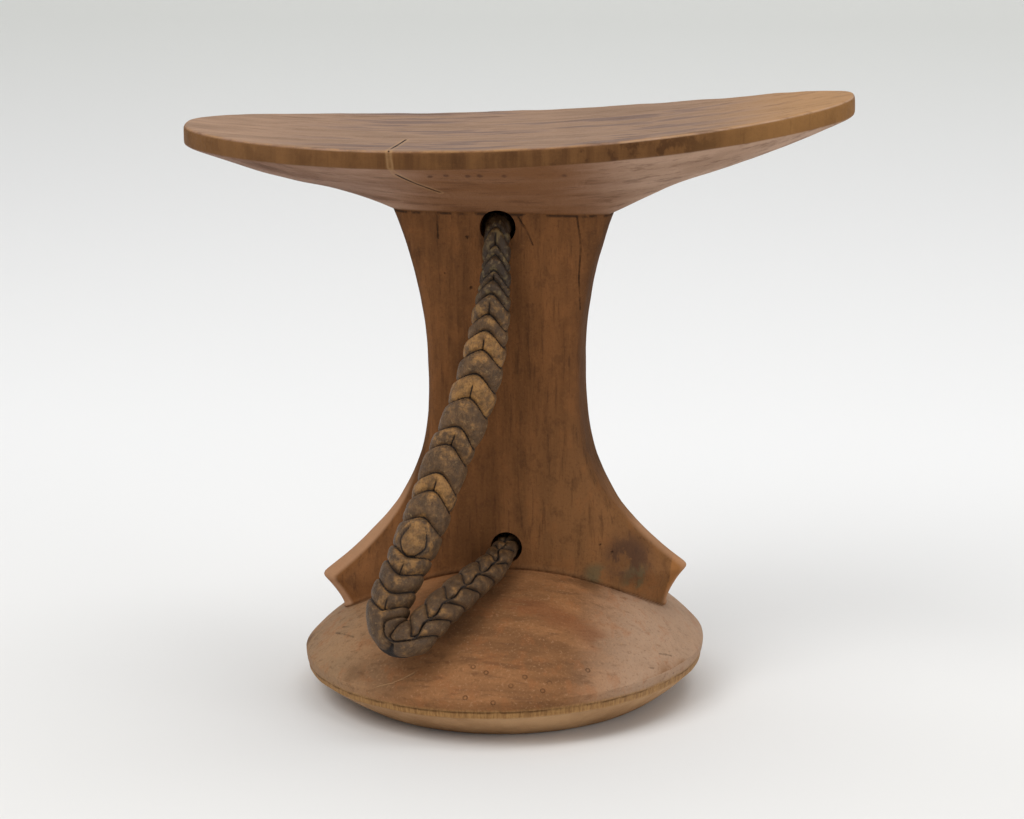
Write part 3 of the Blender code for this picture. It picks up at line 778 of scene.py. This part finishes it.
def leather_finish(colours):
    """Plait leather; the mesh's own attribute says what is worn, grooved or dark."""
    finish = Finish("plaited_leather")
    place = finish.place()
    z = finish.split(place)[2]
    gold, groove, dark = finish.split(finish.painted("plait"))
    blotch = finish.grain(place, (420.0, 420.0, 420.0), 4.0, 0.65)
    patch = finish.grain(place, (900.0, 900.0, 900.0), 4.0, 0.65)
    fine = finish.grain(place, (2600.0, 2600.0, 2600.0), 2.0, 0.6)
    wrinkle = finish.grain(finish.laid(), (70.0, 120.0, 1.0), 4.0, 0.7)
    hide = finish.coats(
        finish.mix(blotch.step(0.35, 0.68), shade(colours.dark_leather, 0.66),
                   shade(colours.dark_leather, 1.28)),
        (patch.step(0.52, 0.68) * 0.45, tone(120, 88, 54)),
        (wrinkle.step(0.53, 0.66) * 0.60, tone(54, 36, 20)))
    rub = finish.coats(
        finish.mix(blotch.step(0.34, 0.64), shade(colours.worn_leather, 0.55),
                   shade(colours.worn_leather, 1.25)),
        (patch.step(0.50, 0.62) * 0.60, tone(100, 62, 32)),
        (wrinkle.step(0.56, 0.66) * 0.45, tone(72, 46, 24)))
    worn = (gold * 1.15 + blotch * 2.3 - 1.40).step(0.0, 0.60)
    broken = groove * (0.45 + 1.0 * patch).clamped()
    colour = finish.coats(
        hide,
        (worn, rub),
        (dark * 0.88, tone(40, 27, 13)),
        # painted glints of olive gold on the dark upper strap
        (dark * blotch.step(0.52, 0.64) * 0.60, tone(122, 104, 66)),
        # small pale spots painted on the leather as glints
        (patch.step(0.58, 0.70) * 0.42, tone(166, 138, 94)),
        (patch.step(0.42, 0.32) * 0.30, tone(52, 35, 20)),
        # painted shade in the grooves between bands, in the creases and round the tongue
        (broken.step(0.20, 0.80), tone(28, 17, 10)),
        (z.step(0.066, 0.046) * 0.26, tone(30, 20, 12)))
    height = blotch * 0.8 + fine * 0.3 + patch * 0.5 + wrinkle * 0.9
    rough = 0.44 + patch * 0.16 + groove * 0.2 - dark * 0.16
    return finish.done(Base_Color=colour, Roughness=rough,
                       Normal=finish.raise_by(height, 0.00050, 1.0), Specular_IOR_Level=0.36)


def paper_finish():
    """Pale paper with painted shade that makes it a little darker in front of the stand, and painted
    light that makes it paler far off.
    """
    finish = Finish("pale_paper")
    y = finish.split(finish.place())[1]
    paper = finish.coats(tone(233, 233, 233), (y.step(0.30, -0.15), tone(221, 220, 218)),
                         (y.step(0.60, 1.50), tone(240, 241, 238)))
    return finish.done(Base_Color=paper, Roughness=0.9)


# ==== Pieces ====
def round_rows(line, front, across, out, angle):
    """Points round a line, each at its own distance from it; the last closes on the first."""
    rows = (line[:, None, :] + front[:, None, :] * (out * np.cos(angle))[:, :, None]
            + across[:, None, :] * (out * np.sin(angle))[:, :, None])
    rows[:, -1] = rows[:, 0]
    return rows


def chevron_depth(down, full):
    """How far a band's sides lie below its middle; it turns over at the tongue, back at the fold."""
    turned = smooth_share(down, 0.068, 0.082)
    back = smooth_share(down, 0.100, 0.109)
    return full * (1.0 - turned * 1.75) * (1.0 - back) + back * full * 0.9


def tongue_marks(down, angle, radius):
    """Distance from the tongue's middle, 1 at its edge, and its outline, which is sunk and gets
    painted shade.
    """
    along = (down - TONGUE_PLACE) / TONGUE_LENGTH
    width = TONGUE_WIDTH * (1.0 + 0.45 * np.clip(along, -1.2, 0.3))
    behind = (np.abs(angle) >= 1.5)[None, :]
    tongue = np.hypot(along, radius * np.sin(angle)[None, :] / width) + behind * 9.0
    outline = np.exp(-((tongue - 1.0) / 0.065) ** 2) * smooth_share(along, -0.75, -0.25)
    return tongue, outline


def plait_rows(line, girth, start, sizes):
    """The plait's surface, and what each point is: gold, groove and dark."""
    _, front, across = frames(line, STRAP_FACING)
    angle = np.linspace(-math.pi, math.pi, STRAP_SIDES + 1)
    down = start[:, None] * np.ones(STRAP_SIDES + 1)
    side = np.abs(np.sin(angle))[None, :]
    radius = 0.5 * girth[:, None]
    # which band each point is on, with the sides lower than the middle
    two_rows = smooth_share(down, *TWO_ROWS)
    turned = angle[None, :] - 0.10 * two_rows * np.sin(2.0 * math.pi * (down - 0.104) / ROW_PITCH)
    stagger = np.tanh(turned / 0.10) * np.tanh((math.pi - np.abs(angle)) / 0.12)
    swing = chevron_depth(start, sizes.chevron)[:, None]
    effective = down - swing * side ** 1.9 + ROW_STAGGER * two_rows * stagger
    begins = np.array([band[0] for band in BANDS]) * 0.001
    golden = np.array([band[1] for band in BANDS])
    index = np.clip(np.searchsorted(begins, effective, side="right") - 1, 0, len(begins) - 2)
    after = np.maximum(effective - begins[index], 0.0)
    before = np.maximum(begins[index + 1] - effective, 0.0)
    pitch = begins[index + 1] - begins[index]
    # the groove between bands, and the crease down the middle of some
    groove = np.exp(-(np.minimum(after, before) / 0.00030) ** 2)
    pillow = (1.0 - np.exp(-after / 0.0008)) * (1.0 - np.exp(-before / 0.0019))
    creased = (golden[index] > golden[np.maximum(index - 1, 0)]).astype(float)
    off_middle = radius * np.abs(np.sin(turned))
    opening = smooth_share(after / pitch, 0.20, 0.60) * creased * (1.0 - two_rows) + two_rows
    # the round tongue where the plait turns over
    tongue, outline = tongue_marks(down, angle, radius)
    inside = smooth_share(tongue, 1.0, 0.85)
    groove = np.maximum(groove * (1.0 - inside), outline)
    pillow = pillow * (1.0 - inside) + inside * (0.75 + 0.45 * (1.0 - np.minimum(tongue, 1.0)))
    crease = np.exp(-(off_middle / 0.00032) ** 2) * opening * (1.0 - inside)
    valley = np.exp(-off_middle / 0.0012) * opening * (1.0 - inside)
    free = smooth_share(down, -0.018, -0.010) * smooth_share(down[-1] - down, 0.012, 0.020)
    sunk = (sizes.lobe_bulge * (1.0 - pillow) + 0.00055 * groove) * (1.0 - 0.45 * side ** 2)
    sunk = sunk + 0.00045 * crease + 0.0004 * valley
    rows = round_rows(line, front, across, radius - sunk * (0.12 + 0.88 * free), angle)

    rubbed = smooth_share(after / pitch, 0.9, 0.2) * smooth_share(side, 0.75, 0.2)
    gold = np.maximum(golden[index] * (1.0 - 0.35 * side), 0.42 * rubbed)
    gold = gold * smooth_share(np.cos(angle), -0.2, 0.5)[None, :]
    gold = np.maximum(gold, inside * 1.05)
    gold = np.maximum(gold, 0.75 * np.exp(-((tongue - 1.30) / 0.13) ** 2))
    dark = smooth_share(down, 0.018, 0.000) * (1.0 - 0.5 * gold)
    # the second column says where painted shade goes: the grooves, the creases and the tongue's
    # outline
    return rows, np.stack([gold, np.maximum(groove, crease), dark], axis=2)


def paint(item, rows, table):
    """Writes the plait's table to the mesh as a colour attribute, point by point."""
    layer = item.data.color_attributes.new("plait", "FLOAT_COLOR", "POINT")
    values = table.reshape(-1, 3)
    keys = {tuple(np.round(point, 7)): index for index, point in enumerate(rows.reshape(-1, 3))}
    for vertex in item.data.vertices:
        found = keys.get(tuple(np.round(np.array(vertex.co), 7)))
        colour = values[found] if found is not None else (0.0, 0.4, 0.5)
        layer.data[vertex.index].color = (*colour, 1.0)


def tube(name, rows, table, material):
    """A closed tube over the rows, painted with its table."""
    rows = rows.astype(np.float32).astype(float)
    work = bmesh.new()
    skin(work, rows)
    closed(work)
    item = as_object(name, work)
    paint(item, rows, table)
    item.data.materials.append(material)
    return item


def make_strap(scene):
    """The plaited strap, from the back of the upper bore to the back of the lower one."""
    sizes = scene.headrest_sizes
    points, along, marks = route(STRAP_ROUTE, STRAP_STEP)
    line, girth = points[:, :3], points[:, 3] * sizes.strap_girth
    rows, table = plait_rows(line, girth, along - marks[ZERO_POINT], sizes)
    uneven = 0.00013 * ripple(rows.reshape(-1, 3), 0.0024, 7.0)
    uneven += 0.00006 * ripple(rows.reshape(-1, 3), 0.0010, 19.0)
    out = rows - line[:, None, :]
    out /= np.linalg.norm(out, axis=2, keepdims=True)
    rows += out * uneven.reshape(rows.shape[:2])[..., None]
    rows[:, -1] = rows[:, 0]
    strap = tube("plaited_strap", rows, table, leather_finish(scene.headrest_colours))
    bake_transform(strap)
    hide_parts("strap_loop", "upper_tail", "lower_tail")
    path = [tuple(point) for point in line[:-6:12]] + [tuple(line[-1])]
    return strap, path, float(along[-1])


def make_strand(name, points, step, girth, material):
    """A round strand through the points, with the plait's slanting bands."""
    table, along, _ = route(points, step)
    _, front, across = frames(table[:, :3], (0.05, 1.0, 0.08))
    angle = np.linspace(-math.pi, math.pi, 33)
    phase = along[:, None] / STRAND_PITCH - np.abs(np.sin(angle))[None, :] * 0.5
    groove = np.exp(-(np.abs(phase - np.round(phase)) * STRAND_PITCH / 0.00035) ** 2)
    rows = round_rows(table[:, :3], front, across, 0.5 * girth - 0.0004 * groove, angle)
    # the groove column gives painted shade in the strand's grooves
    plait = np.stack([np.full_like(groove, 0.12), groove, np.full_like(groove, 0.35)], axis=2)
    return tube(name, rows, plait, material)


def make_knots(scene):
    """The knot behind each bore, with its loose end."""
    girth = scene.headrest_sizes.knot_strand
    leather = bpy.data.materials["plaited_leather"]
    made = []
    for node, bore, way in (("upper_knot", UPPER_BORE, (0.7, 0.1, -0.7)),
                            ("lower_knot", LOWER_BORE, (-0.8, 0.3, 0.5))):
        low, _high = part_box(node)
        middle = np.array([bore[0], low[1] + KNOT_BEHIND, bore[1]])
        turn = np.linspace(0.0, 2.0 * math.pi, 25)[:-1]
        ring = np.stack([(np.sin(turn) + 2.0 * np.sin(2.0 * turn)) * 0.00155,
                         np.sin(3.0 * turn) * 0.0018,
                         (np.cos(turn) - 2.0 * np.cos(2.0 * turn)) * 0.00085], axis=1) + middle
        name = node.replace("_", "-")
        loop = [(*point, 1.0) for point in (*ring, ring[0])]
        knot = make_strand(name + ".tied", loop, 0.0006, girth, leather)
        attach(knot, "stand")
        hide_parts(node)
        way = Vector(way).normalized()
        first = Vector(middle) + Vector((way.x, 0.0, way.z)) * 0.0035
        last = Vector(middle) + way * 0.0115
        lead = [(*first.lerp(last, share), size)
                for share, size in ((0.0, 1.0), (0.4, 1.0), (0.75, 0.95), (1.0, 0.80))]
        tail = make_strand(name + ".end", lead, 0.0005, girth * 0.92, leather)
        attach(tail, "stand")
        made += [knot, tail]
    return made


def column_half_widths(heights):
    """The column's half width at each height."""
    levels = np.linspace(0.016, COLUMN_TOP, 90)
    return np.interp(heights, levels, [column_section(z, 8)[:, 0].max() for z in levels])


def mark_zones(mesh, places, ways):
    """Colour attributes that say what part of the carving a point is on, and where painted light and
    shade go along its edges.
    """
    x, y, z = places.T
    level = z - lean_lift(x, z)
    above = level - dome_height(np.hypot(x, y))
    upper = smooth_share(level, COLUMN_TOP + 0.0002, COLUMN_TOP + 0.0012)
    top = upper * smooth_share(ways[:, 2], 0.62, 0.86)
    side = upper * smooth_share(ways[:, 2], 0.62, 0.35) * smooth_share(ways[:, 2], -0.50, -0.22)
    foot = smooth_share(above, 0.00035, 0.00005) * (1.0 - upper)
    edge = np.abs(x - WAIST_SHIFT) / column_half_widths(level) * (1.0 - upper) * (1.0 - foot)
    lip = np.exp(-(above / 0.0009) ** 2) * (1.0 - upper)
    rim = upper * smooth_share(ways[:, 2], 0.35, 0.65) * smooth_share(ways[:, 2], 0.985, 0.85)
    for name, columns in (("zones", (top, side, foot)), ("wear", (edge, lip, rim))):
        layer = mesh.color_attributes.new(name, "FLOAT_COLOR", "POINT")
        table = np.stack([*columns, np.ones(len(x))], axis=1).astype(np.float32)
        layer.data.foreach_set("color", table.reshape(-1))


def foot_profile():
    """Half of the foot's section: dome, rim, arris, band, undercut and flat face."""
    radii = RIM_RADIUS * np.sin(np.linspace(0.0, 0.5 * math.pi, 64))
    profile = [(r, float(dome_height(r))) for r in radii]
    for share in (0.35, 0.7, 0.88):
        profile.append((RIM_RADIUS + (ARRIS_RADIUS - RIM_RADIUS) * share ** 2,
                        RIM_HEIGHT - (RIM_HEIGHT - ARRIS_HEIGHT) * share))
    profile += [(ARRIS_RADIUS, ARRIS_HEIGHT + 0.00012),
                (ARRIS_RADIUS - 0.00022, ARRIS_HEIGHT - 0.00008),
                (BAND_RADIUS + 0.0001, BAND_HEIGHT + 0.0007)]
    for share in np.linspace(1.0, 0.0, 15):
        profile.append((FOOT_FACE_RADIUS + (BAND_RADIUS - FOOT_FACE_RADIUS) * share,
                        BAND_HEIGHT * float(share) ** UNDERCUT_POWER))
    return [(r, 0.0, z) for r, z in (*profile, (0.0, 0.0))]


def make_foot():
    """The foot turned from its profile and leant like the rest of the block."""
    work = bmesh.new()
    corners = [work.verts.new(point) for point in foot_profile()]
    edges = [work.edges.new(pair) for pair in zip(corners, corners[1:])]
    bmesh.ops.spin(work, geom=corners + edges, cent=(0.0, 0.0, 0.0), axis=(0.0, 0.0, 1.0),
                   angle=2.0 * math.pi, steps=240, use_merge=True, use_duplicate=False)
    bmesh.ops.remove_doubles(work, verts=work.verts, dist=1e-6)
    bmesh.ops.recalc_face_normals(work, faces=work.faces)
    for vertex in work.verts:
        vertex.co.z += float(lean_lift(vertex.co.x, vertex.co.z))
    return as_object("foot", work)


def make_bore(name, x, z, diameter):
    """A cylinder from front to back that cuts a bore."""
    work = bmesh.new()
    turn = Matrix.Translation((x, 0.0, z)) @ Matrix.Rotation(0.5 * math.pi, 4, "X")
    bmesh.ops.create_cone(work, cap_ends=True, segments=64, radius1=0.5 * diameter,
                          radius2=0.5 * diameter, depth=0.08, matrix=turn)
    return as_object(name, work)


def roughen(mesh, waver):
    """Moves the points by the carving's waver, and gives their places and normals."""
    places, ways = (np.zeros(len(mesh.vertices) * 3, np.float32) for _ in range(2))
    mesh.vertices.foreach_get("co", places)
    mesh.vertices.foreach_get("normal", ways)
    places, ways = places.reshape(-1, 3), ways.reshape(-1, 3)
    uneven = ripple(places, 0.013, 3.0) + 0.45 * ripple(places, 0.005, 11.0)
    uneven *= smooth_share(places[:, 2], 0.0, 0.004)
    places += ways * (uneven * waver)[:, None]
    mesh.vertices.foreach_set("co", places.reshape(-1))
    mesh.update()
    mesh.set_sharp_from_angle(angle=math.radians(SHARP_ANGLE))
    return places.astype(float), ways.astype(float)


def make_stand(scene):
    """The carved block: foot, winged column and platform, with its two bores."""
    work = bmesh.new()
    skin(work, block_rings(BLOCK_SIDES))
    closed(work)
    block = as_object("block", work)
    foot = make_foot()
    combine(block, foot, "UNION")
    cutters = [make_bore("upper_bore", *UPPER_BORE), make_bore("lower_bore", *LOWER_BORE)]
    for cutter in cutters:
        combine(block, cutter, "DIFFERENCE")
    stand = baked("carved_stand", block, SHARP_ANGLE)
    for cutter in (foot, *cutters):
        bpy.data.objects.remove(cutter, do_unlink=True)

    mesh = stand.data
    mark_zones(mesh, *roughen(mesh, scene.headrest_sizes.carving_waver))
    mesh.materials.clear()
    mesh.materials.append(wood_finish(scene.headrest_colours))
    mesh.polygons.foreach_set("material_index", [0] * len(mesh.polygons))
    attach(stand, "stand")
    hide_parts("stand")
    return stand


# ==== Stage ====
CAMERA_PLACE = (0.12012, -0.86962, 0.3056)
CAMERA_YAW = math.radians(7.701)
CAMERA_PITCH = math.radians(14.55)
CAMERA_ROLL = math.radians(-0.5147)
CAMERA_LENS = 118.0
# Area lights, all turned to one point: place, size and power.
LIGHT_TARGET = (0.0, 0.0, 0.08)
LIGHTS = {
    "key_softbox": ((-0.55, -0.75, 1.25), (0.9, 0.9), 10.5),
    "top_softbox": ((0.25, 0.15, 1.35), (1.2, 1.0), 9.0),
    "right_fill": ((1.1, -0.7, 0.55), (0.7, 0.7), 3.0),
}
WORLD_STRENGTH = 0.46


def make_camera():
    ahead = Vector((-math.sin(CAMERA_YAW) * math.cos(CAMERA_PITCH),
                    math.cos(CAMERA_YAW) * math.cos(CAMERA_PITCH), -math.sin(CAMERA_PITCH)))
    right = Vector((math.cos(CAMERA_YAW), math.sin(CAMERA_YAW), 0.0))
    up = right.cross(ahead)
    right, up = (right * math.cos(CAMERA_ROLL) + up * math.sin(CAMERA_ROLL),
                 up * math.cos(CAMERA_ROLL) - right * math.sin(CAMERA_ROLL))
    data = bpy.data.cameras.new("camera")
    data.lens = CAMERA_LENS
    data.sensor_width = 36.0
    data.clip_start = 0.01
    camera = bpy.data.objects.new("camera", data)
    turn = Matrix((right, up, -ahead)).transposed().to_4x4()
    camera.matrix_world = Matrix.Translation(CAMERA_PLACE) @ turn
    bpy.context.scene.collection.objects.link(camera)
    bpy.context.scene.camera = camera


def make_floor():
    """A pale floor that sweeps up behind the stand."""
    sweep = [(1.3 + 0.5 * math.sin(a), 0.5 - 0.5 * math.cos(a))
             for a in np.linspace(0.0, 0.5 * math.pi, 17)]
    bend = [(-1.6, 0.0), *sweep, (1.8, 2.4)]
    work = bmesh.new()
    skin(work, np.array([[(x, y, z) for x in np.linspace(-3.0, 3.0, 5)] for y, z in bend]))
    floor = as_object("studio_sweep", work)
    floor.data.materials.append(paper_finish())


def add_light(name, place, size, power):
    data = bpy.data.lights.new(name, "AREA")
    data.shape = "RECTANGLE"
    data.size, data.size_y = size
    data.energy = power
    light = bpy.data.objects.new(name, data)
    light.location = place
    way = Vector(LIGHT_TARGET) - Vector(place)
    light.rotation_euler = way.to_track_quat("-Z", "Y").to_euler()
    bpy.context.scene.collection.objects.link(light)


# ==== Operators ====
class HEADREST_OT_stage(bpy.types.Operator):
    """Set up the camera, the pale floor and the soft light"""

    bl_idname = "headrest.stage"
    bl_label = "Set the stage"

    def execute(self, context):
        scene = context.scene
        make_camera()
        scene.view_settings.view_transform = "Standard"
        make_floor()
        for name, values in LIGHTS.items():
            add_light(name, *values)
        world = bpy.data.worlds.new("studio")
        world.use_nodes = True
        background = world.node_tree.nodes["Background"]
        background.inputs[0].default_value = (1.0, 1.0, 1.0, 1.0)
        background.inputs[1].default_value = WORLD_STRENGTH
        scene.world = world
        return {"FINISHED"}


class HEADREST_OT_strap(bpy.types.Operator):
    """Plait the carrying strap and tie its knots behind the column"""

    bl_idname = "headrest.strap"
    bl_label = "Plait the strap"

    def execute(self, context):
        strap, path, length = make_strap(context.scene)
        knots = make_knots(context.scene)
        return {"FINISHED"}


class HEADREST_OT_stand(bpy.types.Operator):
    """Carve the foot, column and platform from one block of wood"""

    bl_idname = "headrest.stand"
    bl_label = "Carve the stand"

    def execute(self, context):
        make_stand(context.scene)
        return {"FINISHED"}


class HEADREST_PT_panel(bpy.types.Panel):
    """Shows the headrest's sizes and colours, and buttons for its operators"""

    bl_idname = "HEADREST_PT_panel"
    bl_label = "Carved headrest"
    bl_space_type = "VIEW_3D"
    bl_region_type = "UI"
    bl_category = "Headrest"

    def draw(self, context):
        for group in (context.scene.headrest_sizes, context.scene.headrest_colours):
            box = self.layout.box()
            for name in group.__annotations__:
                box.prop(group, name)
        for operator in OPERATORS:
            self.layout.operator(operator.bl_idname)


OPERATORS = (HEADREST_OT_stage, HEADREST_OT_strap, HEADREST_OT_stand)
CLASSES = (HeadrestSizes, HeadrestColours, *OPERATORS, HEADREST_PT_panel)


def register():
    for item in CLASSES:
        bpy.utils.register_class(item)
    bpy.types.Scene.headrest_sizes = bpy.props.PointerProperty(type=HeadrestSizes)
    bpy.types.Scene.headrest_colours = bpy.props.PointerProperty(type=HeadrestColours)


def unregister():
    del bpy.types.Scene.headrest_colours
    del bpy.types.Scene.headrest_sizes
    for item in reversed(CLASSES):
        bpy.utils.unregister_class(item)


def main():
    register()
    bpy.ops.headrest.stage()
    bpy.ops.headrest.strap()
    bpy.ops.headrest.stand()


if __name__ == "__main__":
    main()
